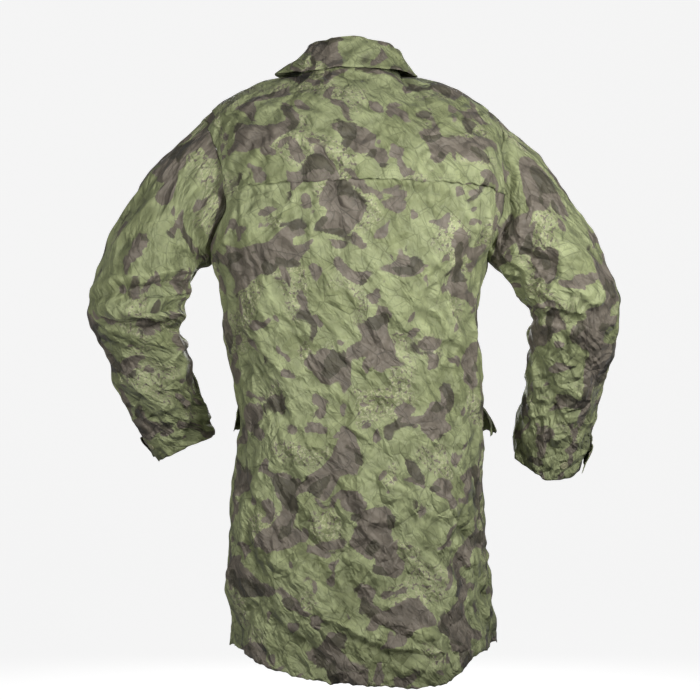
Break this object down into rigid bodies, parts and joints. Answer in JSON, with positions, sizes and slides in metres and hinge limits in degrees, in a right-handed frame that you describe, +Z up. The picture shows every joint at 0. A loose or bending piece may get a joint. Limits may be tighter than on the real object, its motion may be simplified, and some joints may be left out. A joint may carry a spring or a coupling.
{
  "type": "raincoat",
  "caption": "Thigh-length hoodless raincoat of thin camouflage nylon, filled out as worn, with a turned-down collar, a caped back yoke, bent sleeves and flap pockets.",
  "frame": {"origin": "base of the neck, midway between the shoulder seams, where the wearer's shoulders carry the coat", "axes": "+X the wearer's right, +Y the wearer's front, +Z up"},
  "size_m": [0.8786, 0.3553, 1.0572],
  "materials": {
    "shell_cloth": "thin crumpled nylon in a blotched green and brown camouflage, soft sheen",
    "press_stud": "olive lacquered press stud cap, satin"
  },
  "bodies": {
    "root": {"back": "shell_cloth", "back_yoke": "shell_cloth", "front_left": "shell_cloth", "front_right": "shell_cloth", "collar": "shell_cloth", "sleeve_left": "shell_cloth", "sleeve_right": "shell_cloth", "cuff_tab_left": "shell_cloth", "cuff_tab_right": "shell_cloth", "pocket_left": "shell_cloth", "pocket_right": "shell_cloth", "pocket_flap_left": "shell_cloth", "pocket_flap_right": "shell_cloth", "cuff_stud_left": "press_stud", "cuff_stud_right": "press_stud", "front_stud_1": "press_stud", "front_stud_2": "press_stud", "front_stud_3": "press_stud", "front_stud_4": "press_stud", "front_stud_5": "press_stud", "front_stud_6": "press_stud"}
  },
  "joints": []
}
